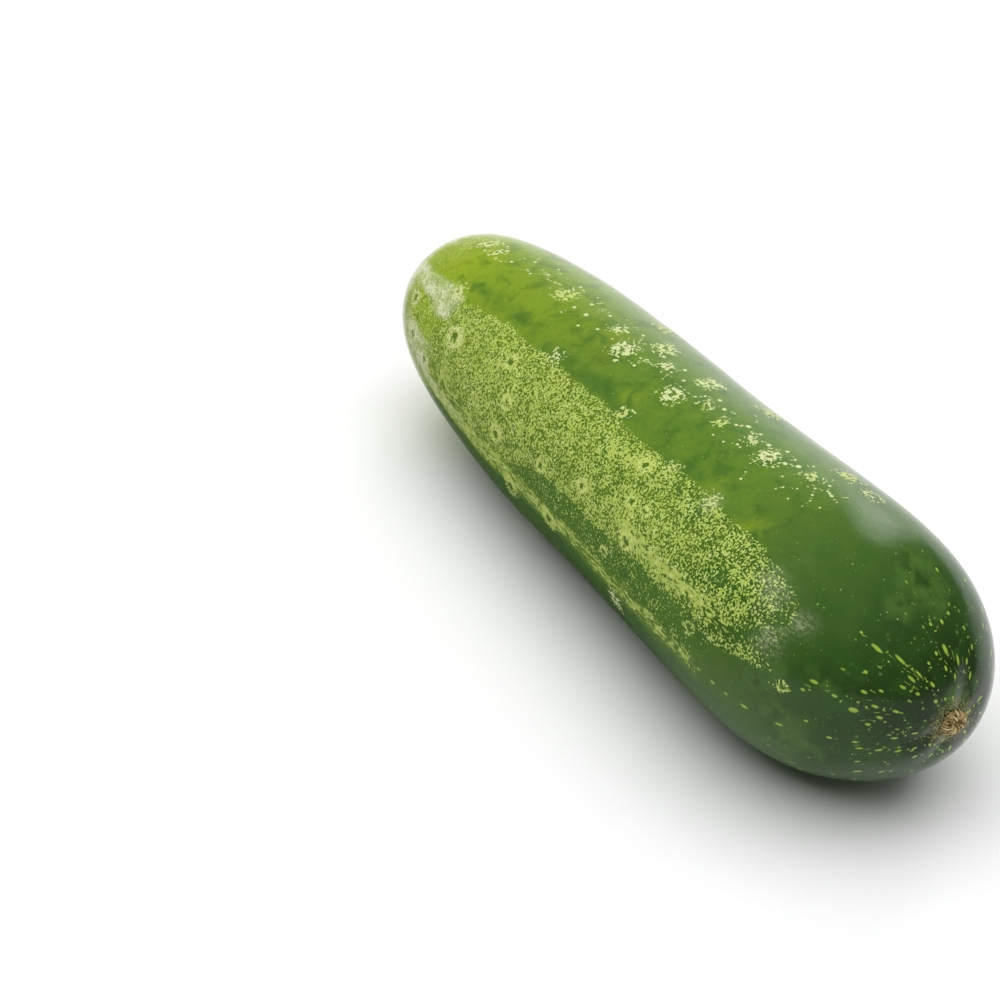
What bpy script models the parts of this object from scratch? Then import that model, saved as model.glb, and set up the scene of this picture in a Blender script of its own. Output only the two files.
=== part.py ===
"""A ripe garden cucumber lying on its side: one solid, because it grew as one piece.

Metres, +Z up. The fruit runs along X, with its blossom end at -X and its stem end at +X.
The origin is on the ground under the middle of the fruit.
"""

import math

import bmesh
import bpy
import numpy as np

LENGTH = 0.190  # from end to end, before the dimples draw the ends in

# A curve along the fruit passes through evenly spaced values, blossom end first.
GIRTH = (0.0280, 0.0246, 0.0259, 0.0263, 0.0282, 0.0255)  # radius, where the ends aren't yet rounded
AXIS_SIDE = (0.0009, 0.0012, -0.0004, -0.0021, 0.0015)  # the slight bow, towards +Y
AXIS_HEIGHT = (0.0288, 0.0252, 0.0257, 0.0267, 0.0267)  # middle of the flesh, over the ground

BLOSSOM_FULLNESS = 5.2  # how blunt an end is: 2 would be an egg, and more is squarer
STEM_FULLNESS = 5.3

LOBE_RISE = 0.015  # the three seed chambers swell the skin by this share of the radius
LOBE_TURN = math.radians(46)  # of one chamber's middle, round the fruit from +Y towards +Z

STEM_DIMPLE_DEPTH = 0.0010
STEM_DIMPLE_RADIUS = 0.0060
BLOSSOM_DIMPLE_DEPTH = 0.0008
BLOSSOM_DIMPLE_RADIUS = 0.0040

GROUND_SAG = 0.0006  # its own weight presses the underside flat by this much

AROUND = 72  # faces round the fruit
ALONG = 48  # faces from end to end

SKIN_COLOUR = (0.07, 0.19, 0.03, 1.0)
SKIN_ROUGHNESS = 0.35


def clear_scene():
    for old in list(bpy.data.objects):
        bpy.data.objects.remove(old, do_unlink=True)


def curve_through(values, along):
    """The smooth curve through evenly spaced values, read at along, from -1 to 1."""
    stations = np.linspace(-1, 1, len(values))
    return np.polyval(np.polyfit(stations, values, len(values) - 1), along)


def skin_points(along, turn):
    """Points of the skin, from places along the fruit and turns round it."""
    fullness = np.where(along > 0, STEM_FULLNESS, BLOSSOM_FULLNESS)
    rounding = np.sqrt(1 - np.abs(along) ** fullness)
    chambers = 1 + LOBE_RISE * np.cos(3 * (turn - LOBE_TURN))
    radius = curve_through(GIRTH, along) * rounding * chambers

    stem_dimple = STEM_DIMPLE_DEPTH * np.exp(-((radius / STEM_DIMPLE_RADIUS) ** 2))
    blossom_dimple = BLOSSOM_DIMPLE_DEPTH * np.exp(-((radius / BLOSSOM_DIMPLE_RADIUS) ** 2))
    inward = np.where(along > 0, -stem_dimple, blossom_dimple)

    x = along * LENGTH / 2 + inward
    y = curve_through(AXIS_SIDE, along) + radius * np.cos(turn)
    z = curve_through(AXIS_HEIGHT, along) + radius * np.sin(turn)
    return np.column_stack((x, y, z))


def rest_on_ground(points):
    """Centres the points over the origin and presses the underside flat on the ground."""
    low, high = points.min(axis=0), points.max(axis=0)
    middle = (low + high) / 2
    points = points - (middle[0], middle[1], low[2] + GROUND_SAG)
    points[:, 2] = np.maximum(points[:, 2], 0)
    return points


def skin_material():
    material = bpy.data.materials.new("cucumber_skin")
    material.use_nodes = True
    shader = material.node_tree.nodes["Principled BSDF"]
    shader.inputs["Base Color"].default_value = SKIN_COLOUR
    shader.inputs["Roughness"].default_value = SKIN_ROUGHNESS
    shader.inputs["Metallic"].default_value = 0.0
    return material


def make_cucumber():
    """A globe with its poles at the fruit's two ends, drawn out to the fruit's shape."""
    body = bmesh.new()
    bmesh.ops.create_uvsphere(body, u_segments=AROUND, v_segments=ALONG, radius=1)
    globe = np.array([vertex.co for vertex in body.verts])
    along = np.clip(globe[:, 2], -1, 1)
    turn = np.arctan2(globe[:, 1], globe[:, 0])
    points = rest_on_ground(skin_points(along, turn))
    for vertex, point in zip(body.verts, points):
        vertex.co = point

    mesh = bpy.data.meshes.new("cucumber")
    body.to_mesh(mesh)
    body.free()
    mesh.materials.append(skin_material())
    mesh.shade_smooth()
    cucumber = bpy.data.objects.new("cucumber", mesh)
    bpy.context.collection.objects.link(cucumber)


clear_scene()
make_cucumber()
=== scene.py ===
"""A ripe garden cucumber, as picked: waxy mottled skin, a corky stem scar, a small blossom scar."""

import math

import bpy
import numpy as np
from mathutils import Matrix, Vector, noise


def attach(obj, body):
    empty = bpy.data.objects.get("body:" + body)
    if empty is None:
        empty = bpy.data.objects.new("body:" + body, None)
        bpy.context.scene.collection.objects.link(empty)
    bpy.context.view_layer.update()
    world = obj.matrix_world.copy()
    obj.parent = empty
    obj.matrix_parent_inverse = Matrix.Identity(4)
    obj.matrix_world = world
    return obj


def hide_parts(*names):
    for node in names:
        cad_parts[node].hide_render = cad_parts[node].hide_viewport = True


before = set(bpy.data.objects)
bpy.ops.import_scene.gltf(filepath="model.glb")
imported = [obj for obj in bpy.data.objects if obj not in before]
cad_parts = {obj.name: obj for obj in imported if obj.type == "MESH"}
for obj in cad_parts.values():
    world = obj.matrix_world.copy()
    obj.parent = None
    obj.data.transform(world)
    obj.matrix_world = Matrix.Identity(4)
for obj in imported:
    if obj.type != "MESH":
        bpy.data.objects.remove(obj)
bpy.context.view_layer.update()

# ---------------------------------------------------------------- the fruit
# One grown body, firm and watery, in a thin waxy skin. Three seed chambers swell it slightly, it
# bows a little towards its side, and its weight presses the underside flat where it lies.

LENGTH = 0.190
GIRTH = (0.0280, 0.0246, 0.0259, 0.0263, 0.0282, 0.0255)  # radius at even stations, blossom end first
AXIS_SIDE = (0.0009, 0.0012, -0.0004, -0.0021, 0.0015)  # the slight bow, towards +Y
AXIS_HEIGHT = (0.0288, 0.0252, 0.0257, 0.0267, 0.0267)  # middle of the flesh, over the ground
BLOSSOM_FULLNESS = 5.2  # how blunt an end is: 2 would be an egg, and more is squarer
STEM_FULLNESS = 5.3
LOBE_RISE = 0.015  # the seed chambers swell the skin by this share of the radius
LOBE_TURN = math.radians(-44)  # of one chamber, from the top of the fruit towards -Y
STEM_DIMPLE = (0.0010, 0.0060)  # depth and radius
BLOSSOM_DIMPLE = (0.0008, 0.0040)
GROUND_SAG = 0.0006  # how far the weight presses the underside flat
FACES_ROUND = 320
FACES_ALONG = 300


def curve_through(values, along):
    """The smooth curve through evenly spaced values, read at along, from -1 to 1."""
    stations = np.linspace(-1, 1, len(values))
    return np.polyval(np.polyfit(stations, values, len(values) - 1), along)


def plain_radius(along):
    fullness = np.where(along > 0, STEM_FULLNESS, BLOSSOM_FULLNESS)
    return curve_through(GIRTH, along) * np.sqrt(np.clip(1 - np.abs(along) ** fullness, 0, 1))


def walk_over_skin(share):
    """Where on the axis that share of the walk over the skin ends, and the whole walk's length."""
    axis = -np.cos(np.linspace(0, math.pi, 4001))
    steps = np.hypot(np.diff(axis) * LENGTH / 2, np.diff(plain_radius(axis)))
    walked = np.concatenate(([0], np.cumsum(steps)))
    return np.interp(share * walked[-1], walked, axis), walked[-1]


bpy.ops.object.select_all(action="DESELECT")
bpy.ops.mesh.primitive_uv_sphere_add(segments=FACES_ROUND, ring_count=FACES_ALONG, radius=1)
fruit = bpy.context.object
fruit.name = "fruit"
fruit.data.uv_layers.active.name = "OFBake"

globe = np.empty(len(fruit.data.vertices) * 3)
fruit.data.vertices.foreach_get("co", globe)
globe = globe.reshape(-1, 3)
way = 1 - np.arccos(np.clip(globe[:, 2], -1, 1)) / math.pi  # 0 at the blossom scar, 1 at the stem scar
turn = np.arctan2(globe[:, 1], globe[:, 0])  # 0 along the top, and a quarter turn on the -Y side
degrees = np.degrees(turn)
along, WALK = walk_over_skin(way)
radius = plain_radius(along) * (1 + LOBE_RISE * np.cos(3 * (turn - LOBE_TURN)))
stem_dip = STEM_DIMPLE[0] * np.exp(-((radius / STEM_DIMPLE[1]) ** 2))
blossom_dip = BLOSSOM_DIMPLE[0] * np.exp(-((radius / BLOSSOM_DIMPLE[1]) ** 2))
points = np.column_stack((
    along * LENGTH / 2 + np.where(along > 0, -stem_dip, blossom_dip),
    curve_through(AXIS_SIDE, along) - radius * np.sin(turn),
    curve_through(AXIS_HEIGHT, along) + radius * np.cos(turn),
))
low, high = points.min(axis=0), points.max(axis=0)
points -= ((low[0] + high[0]) / 2, (low[1] + high[1]) / 2, low[2] + GROUND_SAG)

fruit.data.vertices.foreach_set("co", points.ravel())
fruit.data.update()
outward = np.empty(len(points) * 3)
fruit.data.vertices.foreach_get("normal", outward)
outward = outward.reshape(-1, 3)


def noise_over(places, waves_per_metre, shift=0.0):
    """Smooth noise from -1 to 1 at each place."""
    aside = Vector((shift, 0, 0))
    return np.array([noise.noise(Vector(place) * waves_per_metre + aside) for place in places])


swell = noise_over(points, 38)
cloud = noise_over(points, 110, 5)
ripple = noise_over(points, 330, 9)

# Flower-shaped corky marks, where warts dried off, and pale rings round old pores. Each has its place,
# as the share of the walk from the blossom scar and the degrees from the top, and its radius in mm.
FLOWERS = (
    (0.304, -1, 2.9), (0.447, -15, 3.1), (0.525, -16.5, 2.7), (0.430, 4, 3.0), (0.526, 5, 2.9),
    (0.668, -2, 2.7), (0.722, -25, 2.4), (0.397, -32, 2.7), (0.587, -32, 2.7), (0.636, -4, 1.6),
    (0.481, -6, 1.7), (0.396, -5, 1.7), (0.560, -3, 1.1), (0.594, -1, 1.4), (0.716, -7, 1.8),
    (0.757, -24, 1.8), (0.148, -1, 2.6), (0.175, 3, 1.5), (0.384, 29, 1.7), (0.513, 28.5, 1.4),
    (0.613, 32, 1.5), (0.679, 31, 1.8), (0.197, 38, 2.2), (0.613, 101, 2.4), (0.330, -78, 2.3),
    (0.560, -84, 2.7), (0.655, -70, 1.5), (0.760, -82, 2.2), (0.245, -62, 1.9), (0.425, -120, 2.3),
    (0.605, -114, 1.7), (0.700, -126, 2.0), (0.350, 148, 2.2), (0.520, 156, 2.5),
)
RINGS = (
    (0.241, 57, 3.3), (0.133, 60.5, 2.5), (0.156, 77, 3.2), (0.196, 83, 2.5), (0.341, 45.5, 2.3),
    (0.370, 61.5, 2.2), (0.371, 77.5, 2.5), (0.405, 98, 2.9), (0.459, 72.5, 2.0), (0.485, 93.5, 2.8),
    (0.530, 64.5, 2.0), (0.585, 38.5, 2.2), (0.601, 54, 1.7), (0.624, 53, 1.5), (0.621, 68.5, 2.5),
    (0.592, 81, 1.6), (0.740, 77.5, 1.7), (0.850, 75, 1.3), (0.380, -150, 2.6), (0.500, -138, 2.4),
    (0.640, -148, 2.5), (0.210, -135, 2.6), (0.180, -88, 2.4),
)
# Yellow dashes, thickest towards the stem: place, then half the length and half the width in mm.
DASHES = (
    (0.897, 34, 1.4, 0.43), (0.917, 29.5, 1.5, 0.36), (0.936, 27, 1.2, 0.32),
    (0.9345, 34, 1.1, 0.36), (0.950, 23.5, 0.85, 0.40), (0.965, 33.5, 0.59, 0.43),
    (0.9475, 40.5, 0.51, 0.36), (0.934, 43.5, 0.77, 0.36), (0.903, 48.5, 0.51, 0.36),
    (0.922, 54, 0.59, 0.32), (0.911, 59.5, 0.77, 0.40), (0.873, 66, 1.1, 0.43),
    (0.892, 68.5, 0.68, 0.36), (0.924, 66, 0.77, 0.36), (0.941, 64.5, 0.77, 0.32),
    (0.910, 73, 1.1, 0.61), (0.931, 73.5, 0.77, 0.36), (0.924, 81, 0.59, 0.36),
    (0.946, 94, 0.77, 0.32), (0.9625, 90, 0.77, 0.29), (0.918, 103.5, 0.85, 0.32),
    (0.9325, 107, 1, 0.40), (0.947, 114, 0.85, 0.36), (0.960, 119, 0.77, 0.32),
    (0.912, 118, 0.68, 0.29), (0.900, -16, 0.51, 0.36), (0.906, -9, 0.59, 0.36),
    (0.905, -1, 0.51, 0.36), (0.929, -3, 1.4, 0.50), (0.929, 5.5, 0.51, 0.29),
    (0.941, -12.5, 1.4, 0.36), (0.943, -23.5, 0.85, 0.32), (0.930, -30, 0.68, 0.32),
    (0.914, -25, 0.68, 0.29), (0.955, -29.5, 0.94, 0.29), (0.944, 3, 0.68, 0.32),
    (0.954, -5, 0.77, 0.29), (0.9725, 4, 0.51, 0.29), (0.9695, 19, 0.51, 0.29),
    (0.933, 15, 0.42, 0.29), (0.879, 33, 0.42, 0.32), (0.8575, -23, 0.68, 0.36),
    (0.741, 91, 0.85, 0.43), (0.761, 91, 0.68, 0.40), (0.780, 92, 0.77, 0.43),
    (0.797, 93, 0.68, 0.36), (0.8175, 94, 1.1, 0.43), (0.852, 95.5, 1, 0.40),
    (0.876, 88, 0.51, 0.29), (0.895, 96, 0.77, 0.36), (0.915, 97.5, 0.68, 0.29),
    (0.867, 72, 0.51, 0.32), (0.862, -42, 0.77, 0.36), (0.885, -52, 1.1, 0.36),
    (0.905, -47, 0.85, 0.32), (0.923, -60, 1.2, 0.36),
)
# Cream points among the flowers.
POINTS = (
    (0.204, 2.5, 0.5), (0.186, 7.5, 0.4), (0.219, -8, 0.5), (0.246, -14, 0.4), (0.241, 2, 0.45),
    (0.255, -5, 0.5), (0.274, -3, 0.4), (0.295, -12, 0.5), (0.331, 2.5, 0.6), (0.335, -6.5, 0.6),
    (0.351, 1.5, 0.7), (0.3625, 9.5, 0.45), (0.365, -8, 0.5), (0.461, 6.5, 0.5), (0.4925, -12, 0.6),
    (0.5575, -11, 0.6), (0.6125, -9, 0.7), (0.6675, -11.5, 0.5), (0.695, -8, 0.7), (0.700, -14, 0.4),
    (0.749, -6, 0.5), (0.6775, 15.5, 0.35), (0.575, -8, 0.6), (0.605, -5, 0.5), (0.167, -7, 0.5),
    (0.159, 6, 0.4), (0.178, -3, 0.6), (0.382, 4, 0.45), (0.415, -12, 0.45), (0.462, -9.5, 0.6),
    (0.510, -6, 0.5), (0.545, -7, 0.45), (0.630, -10, 0.5), (0.650, -7.5, 0.6), (0.685, -4.5, 0.6),
    (0.735, -10, 0.45),
)
FAR_ROWS = (-78, -108, -141, -172, 135, 158)  # degrees of the rows of marks on the far side
NEAR_ROWS = (-24, -8, 3, 30, 42, 52, 66, 73, 94, 105, 116)  # and of the small points near the stem
TOP_ROWS = (-12, -5, -1, 4)  # and of the points among the flowers
FLOWER_SHARE = 0.84  # how much of its room each mark fills
DASH_SHARE = 0.88
RING_STRETCH = 1.25  # the skin's growth draws a ring out along the fruit
POINT_WIDTH = 0.9  # of a point's length
NO_MARK = 9.0  # kept where the nearest mark is too far off to count
NEARBY = 4  # mm past its edge within which a mark counts
RNG = np.random.default_rng(11)


def mm_from(share, angle):
    """How far each point of the skin is from that place, along the fruit and round it, in mm."""
    forward = (way - share) * WALK * 1000
    aside = ((degrees - angle + 180) % 360 - 180) * math.pi / 180 * radius * 1000
    return forward, aside


def nearest_mark(marks, reach_past):
    """For each point of the skin, how far it is along and across from the nearest mark, as shares of
    the mark's half-sizes, and the mark's own number, or 0 where none is near."""
    best = np.full(len(points), NO_MARK)
    found = np.tile((NO_MARK, NO_MARK, 0.0), (len(points), 1))
    for number, (share, angle, half_long, half_wide) in enumerate(marks):
        forward, aside = mm_from(share, angle)
        far = np.hypot(forward / half_long, aside / half_wide)
        near = (np.abs(forward) < half_long + NEARBY) & (np.abs(aside) < half_wide + NEARBY)
        near = near & (far < best)
        best[near] = far[near]
        reached = (np.abs(forward) < half_long + reach_past) & (np.abs(aside) < half_wide + reach_past)
        tag = (0.2 + 0.8 * ((number * 0.618) % 1)) * reached
        found[near] = np.column_stack((forward / half_long, aside / half_wide, tag))[near]
    return found


def store(name, values):
    """Keeps three numbers for each point of the skin, for its material to read."""
    layer = fruit.data.attributes.new(name, "FLOAT_VECTOR", "POINT")
    layer.data.foreach_set("vector", np.ascontiguousarray(values, dtype=np.float32).ravel())


def scatter(taken, count, rows, wander, start, spread, longest, widest, apart):
    """The taken marks and count more, in loose rows, thickest at the start, none too close."""
    made = list(taken)
    tries = 0
    while len(made) < len(taken) + count and tries < 20000:
        tries += 1
        share = start - spread * RNG.random() ** 1.5
        angle = (rows[RNG.integers(len(rows))] + RNG.normal(0, wander) + 180) % 360 - 180
        half_long, half_wide = RNG.uniform(0.3, 1) * longest, RNG.uniform(0.55, 1) * widest
        mm_a_degree = np.interp(share, (0, 0.04, 0.5, 0.94, 1), (1, 20, 26, 22, 2)) * math.pi / 180
        room = [
            abs(share - s) * WALK * 1000 > half_long + hl + apart
            or abs((angle - a + 180) % 360 - 180) * mm_a_degree > half_wide + hw + apart
            for s, a, hl, hw in made
        ]
        if all(room):
            made.append((share, angle, half_long, half_wide))
    return made


flowers = [(s, a, FLOWER_SHARE * r, FLOWER_SHARE * r) for s, a, r in FLOWERS]
rings = [(s, a, RING_STRETCH * r, r) for s, a, r in RINGS]
dashes = [(s, a, DASH_SHARE * l, DASH_SHARE * w) for s, a, l, w in DASHES]
dashes = scatter(
    dashes, 80, FAR_ROWS, wander=7, start=0.985, spread=0.24, longest=1.1, widest=0.42, apart=1.5,
)
specks = [(s, a, r, POINT_WIDTH * r) for s, a, r in POINTS]
specks = scatter(
    specks, 46, NEAR_ROWS, wander=4, start=0.985, spread=0.13, longest=0.55, widest=0.28, apart=1.1,
)
specks = scatter(
    specks, 90, TOP_ROWS, wander=3.2, start=0.76, spread=0.64, longest=0.42, widest=0.34, apart=0.5,
)
specks = scatter(
    specks, 100, FAR_ROWS, wander=9, start=0.985, spread=0.72, longest=0.6, widest=0.42, apart=1.0,
)
store("flower", nearest_mark(flowers, 0.8))
store("ring", nearest_mark(rings, 0.8))
store("dash", nearest_mark(dashes, 0.7))
store("point", nearest_mark(specks, 0.6))


def soft_step(low, high, value):
    """0 where the value is under low, 1 over high, and smooth between."""
    share = np.clip((value - low) / (high - low), 0, 1)
    return share * share * (3 - 2 * share)


def band(value, low, high, soft):
    """1 between low and high, 0 outside, and smooth over soft each side of both."""
    return soft_step(low - soft, low + soft, value) * (1 - soft_step(high - soft, high + soft, value))


# Where the skin is mottled, pale or dark, over the walk from blossom to stem and the degrees round it.
# The mottled patch lies on the -Y side, with a thin band under it and a bare gap between the two.
wavy = degrees + 2.4 * cloud + 0.8 * ripple
patch_top = np.interp(
    way,
    (0.20, 0.24, 0.30, 0.36, 0.50, 0.70, 0.76, 0.78, 0.81, 0.85),
    (44, 37, 33.5, 32.5, 31.5, 31, 31.5, 35, 38, 50),
)
patch_foot = np.interp(way, (0.20, 0.40, 0.46, 0.70, 0.80, 0.86), (88, 86, 74, 72, 74, 70))
patch = band(wavy, patch_top, patch_foot, 1.3) * band(way + 0.01 * cloud, 0.21, 0.82, 0.025)
gap = band(wavy, patch_foot, 87, 2) * band(way, 0.40, 0.75, 0.04)
low_foot = np.interp(way, (0.2, 0.45, 0.5, 0.735), (97, 96.5, 95, 94))
low_band = band(wavy, 87.5, low_foot, 1.6) * band(way, 0.16, 0.745, 0.015)
streak = band(wavy, 62, 69, 3) * band(way, 0.60, 0.80, 0.05)
far_band = band(wavy, -152, -118, 9) * band(way, 0.16, 0.80, 0.06)
lumps = soft_step(0.1, 0.5, cloud) * soft_step(0.48, 0.62, way)

# The blossom end is pale, and whitish stripes run from it into the patch.
side_pale = band(wavy, 39, 52, 3) * band(way, 0.07, 0.185, 0.02)
side_spot = band(wavy, 38, 55, 2.5) * band(way, 0.172, 0.212, 0.008)
side_green = band(wavy, 53, 75, 4) * band(way, 0.13, 0.215, 0.02)
side_foot = band(wavy, 72, 100, 4) * band(way, 0.05, 0.20, 0.02)
blossom_end = 1 - soft_step(0.05, 0.15, way + 0.02 * cloud)
top_strip = band(degrees, 14, 40, 5)  # beside the top, where the green runs on to the blossom scar

patch_density = 0.55 * patch * (1 - 0.50 * lumps) * (1 - 0.30 * soft_step(0.66, 0.76, way))
patch_density += 0.28 * streak * patch * (1 - soft_step(0.72, 0.80, way))
density = np.maximum.reduce((
    patch_density,
    0.06 * gap,
    (0.80 - 0.30 * soft_step(0.3, 0.5, way)) * low_band,
    0.70 * side_pale,
    0.80 * side_spot,
    0.24 * side_green,
    0.62 * side_foot,
    0.30 * far_band,
    0.92 * blossom_end * (1 - 0.6 * top_strip),
))
streaks = np.clip(0.5 + 1.1 * noise_over(points * (0.3, 1, 1), 400, 5), 0, 1)
whites = np.clip(np.maximum.reduce((side_pale, side_spot, side_foot, blossom_end)), 0, 1)
density *= 1 - 0.88 * whites * (1 - streaks)
density = np.clip(density, 0.001, 0.95)
whiteness = np.maximum.reduce((
    side_pale,
    side_spot,
    0.9 * side_foot,
    blossom_end * (1 - 0.75 * top_strip),
    0.5 * low_band * (1 - soft_step(0.2, 0.34, way)),
))
whiteness = np.clip(whiteness * (0.45 + 0.55 * streaks), 0, 1)
store("mottle", np.column_stack((density, whiteness, patch)))

# Grey scuffs at the patch's stem end, and olive stains: place, and radius in mm.
SCUFFS = ((0.788, 40, 2.5), (0.803, 44, 3.0), (0.838, 47, 2.2), (0.822, 59, 3.0), (0.682, 32, 2.0))
OLIVE_STAINS = (
    (0.385, 3, 5), (0.50, 21, 2.5), (0.735, 30, 3.5), (0.66, 25, 3),
    (0.15, 14, 9), (0.56, -60, 6), (0.3, -95, 7),
)


def blots(marks):
    """1 at the heart of each mark, and fading out past its radius."""
    shade = np.zeros(len(points))
    for share, angle, size in marks:
        shade = np.maximum(shade, np.exp(-((np.hypot(*mm_from(share, angle)) / size) ** 2)))
    return shade


stripy = np.clip(low_band + 0.8 * streak + band(wavy, 80, 98, 3) * band(way, 0.12, 0.30, 0.03), 0, 1)
store("wear", np.column_stack((stripy, blots(OLIVE_STAINS), blots(SCUFFS))))

# Painted shade darkens the underside; the patch has bluish hollows, and lines meet at the blossom scar.
before_stem = 1 - soft_step(0.76, 0.86, way)
underside_shade = band(wavy, 97.5, 172, 4) * soft_step(0.16, 0.24, way) * before_stem
far_underside_shade = band(wavy + 6 * ripple, -165, -112, 16) * soft_step(0.14, 0.36, way) * before_stem
underside_shade = np.maximum(underside_shade, 0.55 * far_underside_shade)
teal = band(wavy + 2 * cloud, 24, 31.5, 3) * soft_step(-0.35, 0.35, cloud + 0.5 * ripple)
teal = teal * band(way, 0.2, 0.66, 0.03)
teal = np.maximum.reduce((teal, 0.9 * gap, 0.8 * lumps * patch))
seams = 0.5 + 0.5 * np.cos(10 * turn + 0.6 * np.sin(3 * turn))
blossom_lines = soft_step(0.86, 1.0, seams) * (1 - soft_step(0.04, 0.13, way + 0.03 * cloud))
blossom_lines = blossom_lines * np.clip(0.45 + 0.6 * ripple, 0, 1)
store("tone", np.column_stack((underside_shade, teal, blossom_lines)))

# The flesh swells and sinks a little between the seeds, the skin puckers towards both ends, and each
# corky flower sits on a low wart.
CREASES = (  # degrees from the top, depth and reach in mm, of the folds at the stem scar
    (-22, 0.55, 13), (105, 0.45, 12), (160, 0.45, 11), (-70, 0.22, 9),
    (25, 0.16, 8), (62, 0.16, 8), (-140, 0.25, 9),
)
WART_HEIGHT = 0.16  # in mm, as are the pit in its middle and the grain of the mottling
WART_PIT = 0.10
GRAIN_HEIGHT = 0.02
from_stem = (1 - way) * WALK * 1000
from_blossom = way * WALK * 1000
lift = 0.22 * swell + 0.05 * cloud
for angle, depth, reach in CREASES:
    aside = np.sin(turn - math.radians(angle)) * radius * 1000
    facing = np.cos(turn - math.radians(angle)) > 0
    valley = np.exp(-((aside / (1.0 + 0.12 * from_stem)) ** 2)) * facing
    fading = soft_step(1.5, 5, from_stem) * (1 - soft_step(reach * 0.5, reach * 1.4, from_stem))
    lift -= depth * valley * fading
lift -= 0.16 * seams ** 8 * soft_step(1.5, 5, from_blossom) * (1 - soft_step(8, 24, from_blossom))
for share, angle, size in FLOWERS:
    off = np.hypot(*mm_from(share, angle))
    lift += WART_HEIGHT * np.exp(-((off / (1.1 * size)) ** 2)) - WART_PIT * np.exp(-((off / 0.5) ** 2))
lift += GRAIN_HEIGHT * noise_over(points, 900, 3) * (0.4 + density)
points += outward * lift[:, None] / 1000
points[:, 2] = np.maximum(points[:, 2], 0)
fruit.data.vertices.foreach_set("co", points.ravel())
fruit.data.update()
bpy.ops.object.shade_smooth()

# Colours of the skin, as they look on a screen (0 to 255).
GROUND_GREENS = (
    (0.00, (214, 222, 150)), (0.08, (184, 202, 92)), (0.15, (154, 180, 42)), (0.22, (134, 162, 42)),
    (0.32, (122, 152, 42)), (0.45, (102, 135, 44)), (0.60, (94, 129, 43)), (0.70, (94, 128, 44)),
    (0.78, (78, 110, 40)), (0.86, (54, 86, 32)), (0.93, (36, 60, 22)), (1.00, (16, 28, 14)),
)
PATCH_GREENS = (
    (0.20, (112, 140, 44)), (0.40, (92, 122, 36)), (0.62, (86, 118, 36)),
    (0.74, (70, 104, 34)), (0.84, (50, 84, 32)),
)
CORK_WHITE = (222, 230, 168)
CORK_YELLOW = (202, 216, 122)
SPECK_YELLOW = (192, 212, 100)
SPECK_WHITE = (238, 242, 214)
DASH_YELLOW = (162, 192, 72)
WAX_WHITE = (238, 242, 206)
PIT_BROWN = (128, 104, 50)


def screen(red, green, blue):
    """A colour named as on a screen, in the light's own units."""
    parts = [part / 255 for part in (red, green, blue)]
    light = [part / 12.92 if part <= 0.04 else ((part + 0.055) / 1.055) ** 2.4 for part in parts]
    return (*light, 1.0)


def add(tree, kind, settings, inputs):
    """One node, with its settings, and for each socket a number, a colour or another node's output."""
    node = tree.nodes.new("ShaderNode" + kind)
    for name, value in settings.items():
        setattr(node, name, value)
    for socket, value in inputs.items():
        if isinstance(value, bpy.types.NodeSocket):
            tree.links.new(value, node.inputs[socket])
        else:
            node.inputs[socket].default_value = value
    return node


def calc(tree, operation, *values):
    """One sum, worked out at each point of a surface."""
    return add(tree, "Math", {"operation": operation}, dict(enumerate(values))).outputs[0]


def times(tree, one, other):
    return calc(tree, "MULTIPLY", one, other)


def plus(tree, one, other):
    return calc(tree, "ADD", one, other)


def minus(tree, one, other):
    return calc(tree, "SUBTRACT", one, other)


def rise(tree, value, low, high):
    """0 where the value is under low, 1 over high, and smooth between."""
    settings = {"interpolation_type": "SMOOTHSTEP"}
    return add(tree, "MapRange", settings, {0: value, 1: low, 2: high, 3: 0.0, 4: 1.0}).outputs[0]


def paint(tree, share, under, over):
    """The colour over laid on the colour under, as thickly as share says."""
    node = add(tree, "Mix", {"data_type": "RGBA", "clamp_factor": True}, {0: share, 6: under, 7: over})
    return node.outputs[2]


def shades(tree, value, stops):
    """A colour for each value from 0 to 1, by the stops."""
    node = add(tree, "ValToRGB", {}, {0: value})
    ramp = node.color_ramp.elements
    while len(ramp) < len(stops):
        ramp.new(0.5)
    for element, (place, colour) in zip(ramp, stops):
        element.position = place
    for element, (place, colour) in zip(ramp, stops):
        element.color = screen(*colour)
    return node.outputs[0]


def grain(tree, place, scale, detail=2.0, roughness=0.5, distortion=0.0):
    """Cloudy noise, about 0.5 and mostly between 0.3 and 0.7, with scale in waves per metre."""
    inputs = {"Vector": place, "Scale": scale, "Detail": detail}
    inputs |= {"Roughness": roughness, "Distortion": distortion}
    return add(tree, "TexNoise", {}, inputs).outputs["Fac"]


def cells(tree, place, scale):
    """How far each point is from the heart of the nearest of many scattered cells."""
    inputs = {"Vector": place, "Scale": scale, "Randomness": 1.0}
    return add(tree, "TexVoronoi", {}, inputs).outputs["Distance"]


def three_of(tree, name):
    """The three numbers kept for each point of the skin."""
    kept = add(tree, "Attribute", {"attribute_type": "GEOMETRY", "attribute_name": name}, {})
    split = add(tree, "SeparateXYZ", {}, {0: kept.outputs["Vector"]})
    return split.outputs[0], split.outputs[1], split.outputs[2]


def new_material(name):
    material = bpy.data.materials.new(name)
    material.use_nodes = True
    tree = material.node_tree
    return material, tree, tree.nodes["Principled BSDF"]


def centred(tree, value, strength):
    """Noise made to swing both ways round 0."""
    return times(tree, minus(tree, value, 0.5), strength)


def mark_reach(tree, name):
    """From the nearest kept mark: how far out from its heart, and whether one is here at all."""
    ahead, aside, tag = three_of(tree, name)
    square = plus(tree, times(tree, ahead, ahead), times(tree, aside, aside))
    return calc(tree, "SQRT", square), rise(tree, tag, 0.02, 0.15)


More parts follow.
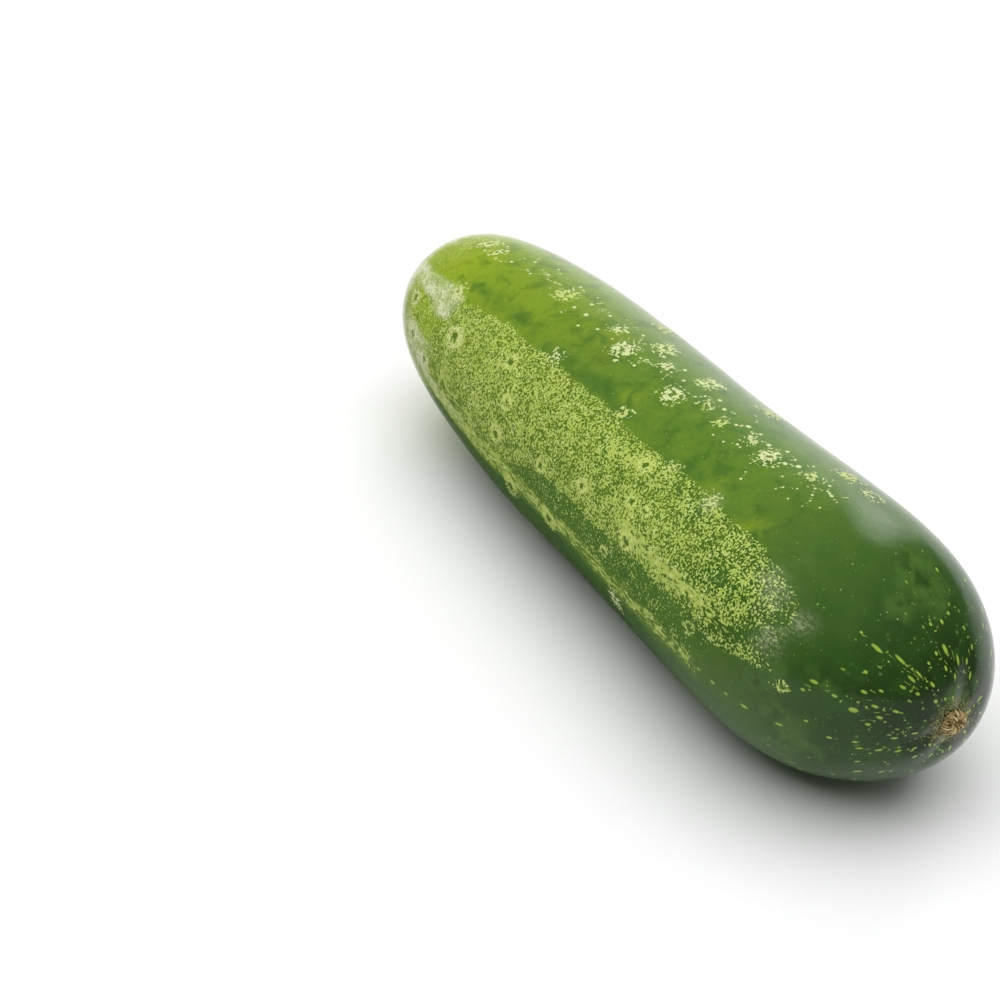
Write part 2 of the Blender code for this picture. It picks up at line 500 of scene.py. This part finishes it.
skin, tree, shader = new_material("cucumber skin")
place = add(tree, "TexCoord", {}, {}).outputs["Object"]
wrap = add(tree, "UVMap", {"uv_map": "OFBake"}, {}).outputs[0]
walk = add(tree, "SeparateXYZ", {}, {0: wrap}).outputs[1]  # 0 at the blossom scar, 1 at the stem scar
mottle_share, white_share, patch_share = three_of(tree, "mottle")
underside_shade_share, teal_share, line_share = three_of(tree, "tone")
stripy_share, olive_share, scuff_share = three_of(tree, "wear")

broad = grain(tree, place, 60.0, 3.0, 0.55)
blotch = grain(tree, place, 210.0, 4.0, 0.6, 0.4)
patchy = grain(tree, place, 340.0, 2.0, 0.5)
fine = grain(tree, place, 800.0, 3.0, 0.6)
worms = grain(tree, place, 2500.0, 0.5, 0.5, 0.4)
beads = cells(tree, place, 1650.0)
beaded = calc(tree, "MULTIPLY_ADD", minus(tree, 0.52, beads), 0.45, worms)
drawn_out = add(tree, "Mapping", {}, {"Vector": place, "Scale": (0.28, 1.0, 1.0)}).outputs[0]
threads = grain(tree, drawn_out, 1900.0, 1.0, 0.5, 0.4)

# The ground colour, from pale blossom end to dark stem end, clouded with deeper and yellower green.
walk_clouded = plus(tree, walk, centred(tree, broad, 0.14))
ground = shades(tree, walk_clouded, GROUND_GREENS)
ground = paint(tree, patch_share, ground, shades(tree, walk_clouded, PATCH_GREENS))
deeper = times(tree, rise(tree, blotch, 0.49, 0.66), 0.40)
ground = paint(tree, deeper, ground, screen(50, 94, 34))
paler = times(tree, rise(tree, blotch, 0.50, 0.34), rise(tree, walk, 0.84, 0.60))
ground = paint(tree, times(tree, paler, 0.20), ground, screen(134, 160, 42))
olive = times(tree, olive_share, times(tree, rise(tree, blotch, 0.62, 0.36), 0.75))
ground = paint(tree, olive, ground, screen(134, 156, 38))
glade = times(tree, rise(tree, broad, 0.47, 0.62), rise(tree, walk, 0.74, 0.82))
glade = times(tree, glade, rise(tree, blotch, 0.36, 0.56))
ground = paint(tree, times(tree, glade, 0.42), ground, screen(92, 126, 54))
rusty = rise(tree, grain(tree, place, 85.0, 2.0, 0.5, 0.6), 0.62, 0.74)
rusty = times(tree, rusty, rise(tree, walk, 0.80, 0.70))
ground = paint(tree, times(tree, rusty, 0.22), ground, screen(150, 142, 34))
ground = paint(tree, times(tree, rise(tree, fine, 0.50, 0.66), 0.14), ground, screen(40, 78, 30))
ground = paint(tree, times(tree, teal_share, 0.55), ground, screen(62, 106, 42))
# Painted shade: the underside, turned towards a deeper green.
ground = paint(tree, times(tree, underside_shade_share, 0.80), ground, screen(60, 100, 42))

# Pale rings round old pores thicken the mottling, and leave a green heart.
ring_out, ring_here = mark_reach(tree, "ring")
ring_out = plus(tree, ring_out, centred(tree, fine, 1.0))
halo = times(tree, rise(tree, ring_out, 1.15, 0.55), ring_here)
pore = times(tree, rise(tree, ring_out, 0.36, 0.18), ring_here)

# The mottling: a fine network where it is dense, single specks where it is thin, and threads where the
# skin has stretched.
density = plus(tree, mottle_share, times(tree, halo, 0.50))
density = calc(tree, "MINIMUM", density, 0.95)
density = calc(tree, "MAXIMUM", minus(tree, density, pore), 0.002)
odds = calc(tree, "DIVIDE", minus(tree, 1.0, density), density)
cut = plus(tree, 0.5, times(tree, calc(tree, "LOGARITHM", odds, math.e), 0.064))
network = add(tree, "Mix", {}, {0: stripy_share, 2: beaded, 3: threads}).outputs[0]
network = plus(tree, network, centred(tree, patchy, 0.34))
network = plus(tree, network, centred(tree, blotch, 0.26))
mottle = rise(tree, minus(tree, network, cut), -0.075, 0.09)
pale = paint(tree, white_share, screen(*SPECK_YELLOW), screen(*SPECK_WHITE))
pale = paint(tree, times(tree, rise(tree, patchy, 0.50, 0.36), 0.4), pale, screen(162, 188, 80))
pale = paint(tree, times(tree, rise(tree, fine, 0.50, 0.64), 0.55), pale, screen(218, 230, 146))
colour = paint(tree, times(tree, mottle, 0.88), ground, pale)
colour = paint(tree, times(tree, white_share, 0.45), colour, screen(*WAX_WHITE))
ring_tint = paint(tree, rise(tree, walk, 0.32, 0.20), screen(206, 220, 124), screen(*CORK_WHITE))
crown = times(tree, rise(tree, ring_out, 0.30, 0.50), ring_here)
crown = times(tree, rise(tree, ring_out, 0.95, 0.55), crown)
colour = paint(tree, times(tree, crown, rise(tree, beaded, 0.38, 0.56)), colour, ring_tint)
colour = paint(tree, times(tree, pore, 0.6), colour, screen(88, 118, 44))

# Flower-shaped marks: ragged cream petals round a green or brown heart.
flower_out, flower_here = mark_reach(tree, "flower")
flower_ahead, flower_aside, flower_tag = three_of(tree, "flower")
flower_bearing = calc(tree, "ARCTAN2", flower_aside, flower_ahead)
flower_turn = times(tree, flower_tag, 40.0)
rays = calc(tree, "SINE", calc(tree, "MULTIPLY_ADD", flower_bearing, 9.0, flower_turn))
flakes = grain(tree, place, 1250.0, 1.0, 0.5, 0.7)
crumbled = plus(tree, centred(tree, flakes, 3.4), times(tree, rays, 0.10))
crumbled = plus(tree, crumbled, centred(tree, beaded, 0.5))
petals = calc(tree, "MULTIPLY_ADD", rise(tree, flower_out, 1.36, 0.32), 0.70, crumbled)
inner = rise(tree, plus(tree, flower_out, centred(tree, flakes, 0.7)), 0.22, 0.36)
petals = times(tree, rise(tree, petals, 0.34, 0.44), times(tree, inner, flower_here))
yellowish = rise(tree, calc(tree, "FRACT", times(tree, flower_tag, 3.7)), 0.2, 0.9)
petal_tint = paint(tree, yellowish, screen(*CORK_WHITE), screen(*CORK_YELLOW))
colour = paint(tree, times(tree, petals, 0.86), colour, petal_tint)
heart = times(tree, rise(tree, flower_out, 0.26, 0.12), flower_here)
brown = calc(tree, "GREATER_THAN", calc(tree, "FRACT", times(tree, flower_tag, 7.3)), 0.5)
colour = paint(tree, times(tree, times(tree, heart, brown), 0.7), colour, screen(*PIT_BROWN))

# Yellow dashes, the small pale points and, near the stem, the tiniest specks.
dash_out, dash_here = mark_reach(tree, "dash")
dash_out = plus(tree, dash_out, centred(tree, fine, 0.9))
dash_share = times(tree, rise(tree, dash_out, 1.10, 0.60), dash_here)
colour = paint(tree, times(tree, dash_share, 0.92), colour, screen(*DASH_YELLOW))
point_out, point_here = mark_reach(tree, "point")
point_out = plus(tree, point_out, centred(tree, fine, 0.8))
small_spots = times(tree, rise(tree, point_out, 1.12, 0.50), point_here)
cream = paint(tree, rise(tree, walk, 0.80, 0.74), screen(140, 170, 66), screen(*CORK_WHITE))
colour = paint(tree, times(tree, small_spots, 0.92), colour, cream)
tiny = times(tree, rise(tree, cells(tree, place, 430.0), 0.17, 0.07), rise(tree, walk, 0.86, 0.97))
colour = paint(tree, times(tree, tiny, 0.7), colour, screen(150, 176, 92))

# Grey scuffs, a crumbled brown rim round the stem scar, and the lines that meet at the blossom scar.
slanted = {"Vector": place, "Rotation": (0.4, 0.3, 0.9), "Scale": (0.2, 1.0, 1.0)}
scratches = add(tree, "Mapping", {}, slanted).outputs[0]
scraped = rise(tree, grain(tree, scratches, 2200.0, 2.0, 0.6), 0.44, 0.60)
scuff = times(tree, calc(tree, "MULTIPLY_ADD", scraped, 0.26, 0.08), scuff_share)
colour = paint(tree, scuff, colour, screen(206, 212, 176))
rim = rise(tree, plus(tree, walk, centred(tree, fine, 0.02)), 0.970, 0.986)
rim = times(tree, rim, rise(tree, worms, 0.42, 0.60))
colour = paint(tree, times(tree, rim, 0.75), colour, screen(152, 146, 84))
colour = paint(tree, times(tree, line_share, 0.62), colour, screen(124, 158, 70))

# The wax gives the skin its gloss. Cork, scuffs and specks are rougher and stand a little proud.
shader.inputs["IOR"].default_value = 1.42
tree.links.new(colour, shader.inputs["Base Color"])
corky = calc(tree, "MAXIMUM", petals, times(tree, mottle, 0.4))
corky = calc(tree, "MAXIMUM", corky, scuff)
roughness = plus(tree, times(tree, corky, 0.22), times(tree, fine, 0.16))
tree.links.new(plus(tree, roughness, 0.09), shader.inputs["Roughness"])
height = plus(tree, times(tree, corky, 0.30), times(tree, blotch, 0.8))
height = plus(tree, height, times(tree, fine, 0.35))
relief = add(tree, "Bump", {}, {"Strength": 0.30, "Distance": 0.00018, "Height": height})
tree.links.new(relief.outputs[0], shader.inputs["Normal"])
fruit.data.materials.append(skin)

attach(fruit, "root")
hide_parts("cucumber")

# ---------------------------------------------------------------- the stem scar
# Where the fruit came off its stalk, the wound dried to a sunken disc of cork, about 5.5 mm wide. Its
# torn vessels stand up as tan fibres round a brown pit. Painted shade darkens the disc in the pit,
# between its ridges and at its sunken rim, and painted highlight lightens the ridge tops.
STEM_SCAR_RADIUS = 0.0028
STEM_SCAR_PIT = (-0.12, 0.42)  # its place on the disc, as a share of the radius: sideways and up
STEM_SCAR_FIBRES = 64
CORK_TANS = (
    (0.0, (40, 30, 18)), (0.25, (108, 88, 50)), (0.5, (170, 148, 96)),
    (0.75, (210, 190, 138)), (1.0, (234, 220, 176)),
)

cork, tree, shader = new_material("dried cork")
place = add(tree, "TexCoord", {}, {}).outputs["Object"]
kept_tone = {"attribute_type": "GEOMETRY", "attribute_name": "tone"}
tone_and_depth_shade = add(tree, "Attribute", kept_tone, {}).outputs["Fac"]
crumbs = grain(tree, place, 2600.0, 3.0, 0.6, 0.5)
# The kept tone holds each fibre's own tone and the disc's painted shade and highlight.
crumbled_tone_and_shade = plus(tree, tone_and_depth_shade, centred(tree, crumbs, 0.9))
tree.links.new(shades(tree, crumbled_tone_and_shade, CORK_TANS), shader.inputs["Base Color"])
shader.inputs["Roughness"].default_value = 0.8
relief = add(tree, "Bump", {}, {"Strength": 0.6, "Distance": 0.0001, "Height": crumbs})
tree.links.new(relief.outputs[0], shader.inputs["Normal"])


def store_tone(piece, values):
    """Keeps how pale each point of a piece of cork is, for its material to read."""
    tone = piece.data.attributes.new("tone", "FLOAT", "POINT")
    tone.data.foreach_set("value", np.asarray(values, dtype=np.float32))


def cork_disc(name, pole, outwards, size, pit, draw):
    """A crumpled disc of cork with a ragged rim and a pit, facing along X by outwards."""
    bpy.ops.object.select_all(action="DESELECT")
    facing_out = (0, outwards * math.pi / 2, 0)
    bpy.ops.mesh.primitive_cylinder_add(
        vertices=84, radius=size, depth=0.0012, location=pole, rotation=facing_out,
    )
    bpy.ops.object.transform_apply(location=True, rotation=True, scale=True)
    disc = bpy.context.object
    disc.name = name
    bpy.ops.object.mode_set(mode="EDIT")
    bpy.ops.mesh.select_all(action="DESELECT")
    bpy.ops.object.mode_set(mode="OBJECT")
    for face in disc.data.polygons:
        face.select = face.normal.x * outwards > 0.9
    bpy.ops.object.mode_set(mode="EDIT")
    for _ in range(9):
        bpy.ops.mesh.inset(thickness=size / 10.5)
    bpy.ops.mesh.poke()
    bpy.ops.object.mode_set(mode="OBJECT")

    body = np.empty(len(disc.data.vertices) * 3)
    disc.data.vertices.foreach_get("co", body)
    body = body.reshape(-1, 3)
    side, up = (body[:, 1] - pole[1]) / size, (body[:, 2] - pole[2]) / size
    out = np.hypot(side, up)
    bearing = np.arctan2(up, side)
    top = (body[:, 0] - pole[0]) * outwards > 0
    stations = np.linspace(-math.pi, math.pi, 43)
    jag = np.interp(bearing, stations, np.append(draw.normal(0, 0.09, 42), 0), period=2 * math.pi)
    spread = 1 + jag * out ** 2
    ridges = np.sin(bearing * 17 + 5 * jag) * 0.06 + np.sin(bearing * 31 + 2) * 0.04
    hollow = np.exp(-(((side - pit[0]) / 0.34) ** 2 + ((up - pit[1]) / 0.24) ** 2))
    rise_up = 0.16 + 0.16 * np.sin(np.clip(out, 0, 1) * math.pi) + ridges * soft_step(0.1, 0.6, out)
    rise_up = rise_up - 0.42 * soft_step(0.82, 1.0, out) - 0.50 * hollow
    body[:, 1] = pole[1] + side * size * spread
    body[:, 2] = pole[2] + up * size * spread
    body[:, 0] = np.where(top, pole[0] + outwards * rise_up * size, pole[0] - outwards * 0.0006)
    disc.data.vertices.foreach_set("co", body.ravel())
    # Painted shade and highlight: the tone falls in the pit, the grooves and the rim's drop, and rises
    # on the ridges.
    store_tone(disc, 0.42 + 1.6 * ridges - 0.50 * hollow - 0.10 * soft_step(0.8, 1, out))
    disc.data.update()
    return disc


def torn_fibres(name, pole, outwards, size, pit, strands, draw):
    """Short bent fibres that run from round the pit to the rim, each of its own thickness and tone."""
    hairs = bpy.data.curves.new(name + "_fibres", "CURVE")
    hairs.dimensions = "3D"
    hairs.bevel_depth = 1.0
    hairs.bevel_resolution = 1
    hairs.use_fill_caps = True
    tones = []
    for _ in range(strands):
        bearing = draw.uniform(-math.pi, math.pi)
        root = 0.30 * np.array((math.cos(bearing), math.sin(bearing))) * draw.uniform(0.5, 1.2)
        start = np.array(pit) * 0.55 + root
        bearing += draw.normal(0, 0.35)
        finish = np.array((math.cos(bearing), math.sin(bearing))) * draw.uniform(0.72, 1.06)
        bend = draw.normal(0, 0.12)
        thick = draw.uniform(0.030, 0.062) * size
        lifted = draw.uniform(0.10, 0.34)
        spline = hairs.splines.new("POLY")
        spline.points.add(7)
        across = np.array((-(finish - start)[1], (finish - start)[0]))
        for step, point in enumerate(spline.points):
            share = step / 7
            side, up = start + (finish - start) * share + across * bend * math.sin(math.pi * share)
            high = 0.22 + lifted * math.sin(math.pi * min(1, share * 1.05)) - 0.34 * share ** 4
            place = Vector(pole) + Vector((outwards * high, side, up)) * size
            point.co = (*place, 1)
            point.radius = thick * (0.35 + 0.65 * math.sin(math.pi * (0.12 + 0.80 * share)))
        tones.append(draw.uniform(0.30, 1.0))
    fibres = bpy.data.objects.new(name + "_fibres", hairs)
    bpy.context.scene.collection.objects.link(fibres)
    bpy.ops.object.select_all(action="DESELECT")
    fibres.select_set(True)
    bpy.context.view_layer.objects.active = fibres
    bpy.ops.object.convert(target="MESH")
    fibres = bpy.context.object
    store_tone(fibres, np.repeat(tones, len(fibres.data.vertices) // strands))
    return fibres


def make_scar(name, pole, outwards, size, pit, strands, seed):
    """The dried scar at that pole of the fruit: the disc and its fibres, joined."""
    draw = np.random.default_rng(seed)
    disc = cork_disc(name, pole, outwards, size, pit, draw)
    fibres = torn_fibres(name, pole, outwards, size, pit, strands, draw)
    fibres.data.materials.append(cork)
    disc.data.materials.append(cork)
    disc.select_set(True)
    bpy.context.view_layer.objects.active = disc
    bpy.ops.object.join()
    bpy.ops.object.mode_set(mode="EDIT")
    bpy.ops.mesh.select_all(action="SELECT")
    bpy.ops.mesh.remove_doubles(threshold=1e-7)
    bpy.ops.mesh.normals_make_consistent(inside=False)
    bpy.ops.object.mode_set(mode="OBJECT")
    bpy.ops.object.shade_smooth_by_angle(angle=math.radians(50))
    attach(disc, "root")


stem_pole = tuple(points[np.argmax(way)])
make_scar("stem_scar", stem_pole, 1, STEM_SCAR_RADIUS, STEM_SCAR_PIT, STEM_SCAR_FIBRES, seed=4)

# ---------------------------------------------------------------- the blossom scar
# The flower dried and dropped from the other end, and left a small tan button of cork, about 3 mm
# wide, with its pit in the middle.
BLOSSOM_SCAR_RADIUS = 0.0016
BLOSSOM_SCAR_FIBRES = 22
blossom_pole = tuple(points[np.argmin(way)])
make_scar("blossom_scar", blossom_pole, -1, BLOSSOM_SCAR_RADIUS, (0.0, 0.0), BLOSSOM_SCAR_FIBRES, seed=9)

# ---------------------------------------------------------------- the floor
# A plain pale table top, much wider than the fruit, that fades into the white room at its edge.
FADE_FROM = 0.60  # metres from the fruit
FADE_TO = 1.25
bpy.ops.object.select_all(action="DESELECT")
bpy.ops.mesh.primitive_plane_add(size=8, location=(0, 0, 0))
floor = bpy.context.object
floor.name = "floor"
floor_material, tree, shader = new_material("pale floor")
shader.inputs["Base Color"].default_value = (0.96, 0.96, 0.965, 1.0)
shader.inputs["Roughness"].default_value = 0.7
shader.inputs["Specular IOR Level"].default_value = 0.1
spot = add(tree, "SeparateXYZ", {}, {0: add(tree, "TexCoord", {}, {}).outputs["Object"]})
square = times(tree, spot.outputs[1], spot.outputs[1])
square = calc(tree, "MULTIPLY_ADD", spot.outputs[0], spot.outputs[0], square)
tree.links.new(rise(tree, calc(tree, "SQRT", square), FADE_TO, FADE_FROM), shader.inputs["Alpha"])
floor.data.materials.append(floor_material)

# A dark sheet lies on the table in front of the fruit, seen only in the wax: out of the lens's sight,
# lighting nothing and casting no shadow, it paints a dark reflection on the lower side in place of the
# table's glare. It thins out towards the stem end.
bpy.ops.object.select_all(action="DESELECT")
bpy.ops.mesh.primitive_plane_add(size=6, location=(0, 0, 0.0012))
bpy.ops.object.transform_apply(location=True, rotation=True, scale=True)
gloss_shade_sheet = bpy.context.object
gloss_shade_sheet.name = "gloss_only_shade_sheet"
gloss_shade_material, tree, shader = new_material("gloss-only shade sheet")
spot = add(tree, "SeparateXYZ", {}, {0: add(tree, "TexCoord", {}, {}).outputs["Object"]})
past_stem = calc(tree, "MAXIMUM", minus(tree, spot.outputs[0], 0.09), 0.0)
in_front = calc(tree, "MULTIPLY_ADD", past_stem, -1.2, spot.outputs[1])
cover = calc(tree, "MULTIPLY_ADD", rise(tree, spot.outputs[0], 0.075, 0.0), 0.50, 0.44)
cover = times(tree, cover, rise(tree, in_front, -0.004, -0.020))
tree.links.new(cover, shader.inputs["Alpha"])
# Painted shade for the reflections: a dark green.
shader.inputs["Base Color"].default_value = (0.035, 0.050, 0.028, 1.0)
shader.inputs["Roughness"].default_value = 1.0
shader.inputs["Specular IOR Level"].default_value = 0.0
gloss_shade_sheet.data.materials.append(gloss_shade_material)
gloss_shade_sheet.visible_camera = False
gloss_shade_sheet.visible_diffuse = False
gloss_shade_sheet.visible_shadow = False
gloss_shade_sheet.visible_transmission = False

# ---------------------------------------------------------------- the light
# Soft light from a wide panel overhead, in a dim room. Beyond the fruit a low white backdrop, with a
# bright window in it, shows in the wax along the top and the far edge.
PANEL_PLACE = (0.05, -0.1, 1.6)
PANEL_SIZE = 2.4
PANEL_POWER = 43
WINDOW_GLOW = 2.4
ROOM_GLOW = 0.08
bpy.context.scene.view_settings.view_transform = "Standard"
bpy.context.scene.render.film_transparent = False

room = bpy.data.worlds.new("room")
bpy.context.scene.world = room
room.use_nodes = True
tree = room.node_tree
tree.nodes.clear()
toward = add(tree, "TexCoord", {}, {}).outputs["Generated"]
split = add(tree, "SeparateXYZ", {}, {0: toward})
compass = calc(tree, "DEGREES", calc(tree, "ARCTAN2", split.outputs[1], split.outputs[0]))
climb = calc(tree, "DEGREES", calc(tree, "ARCSINE", split.outputs[2]))
backdrop = times(tree, rise(tree, compass, 168, 132), rise(tree, compass, 112, 121))
backdrop = times(tree, backdrop, rise(tree, climb, 50, 2))
window = times(tree, rise(tree, compass, 136, 126), rise(tree, compass, 114, 121))
window = times(tree, window, times(tree, rise(tree, climb, 54, 42), rise(tree, climb, 4, 30)))
backdrop = plus(tree, backdrop, times(tree, window, WINDOW_GLOW))
horizon = times(tree, rise(tree, compass, 60, 100), rise(tree, compass, 165, 140))
horizon = times(tree, horizon, rise(tree, climb, 10, 2))
glow = plus(tree, calc(tree, "MAXIMUM", backdrop, horizon), ROOM_GLOW)
seen = add(tree, "LightPath", {}, {}).outputs["Is Camera Ray"]
strength = plus(tree, glow, seen)
sky = add(tree, "Background", {}, {"Color": (1.0, 1.0, 1.0, 1.0), "Strength": strength})
add(tree, "OutputWorld", {}, {0: sky.outputs[0]})

light = bpy.data.lights.new("overhead", "AREA")
light.shape = "RECTANGLE"
light.size = PANEL_SIZE
light.size_y = PANEL_SIZE
light.energy = PANEL_POWER
lamp = bpy.data.objects.new("overhead", light)
bpy.context.scene.collection.objects.link(lamp)
lamp.location = PANEL_PLACE
lamp.rotation_euler = (-Vector(PANEL_PLACE)).to_track_quat("-Z", "Y").to_euler()
lamp.visible_glossy = False
lamp.visible_camera = False

# ---------------------------------------------------------------- the camera
# A long lens looks down on the fruit from beyond its stem end, a little to its -Y side.
CAMERA_FROM = (0.3452, -0.2401, 0.3093)
CAMERA_AIM = (-0.0138, -0.0295, 0.0237)
CAMERA_LENS = 86.6
eye = bpy.data.cameras.new("camera")
eye.lens = CAMERA_LENS
eye.sensor_width = 36
camera = bpy.data.objects.new("camera", eye)
bpy.context.scene.collection.objects.link(camera)
camera.location = CAMERA_FROM
camera.rotation_euler = (Vector(CAMERA_AIM) - Vector(CAMERA_FROM)).to_track_quat("-Z", "Y").to_euler()
bpy.context.scene.camera = camera
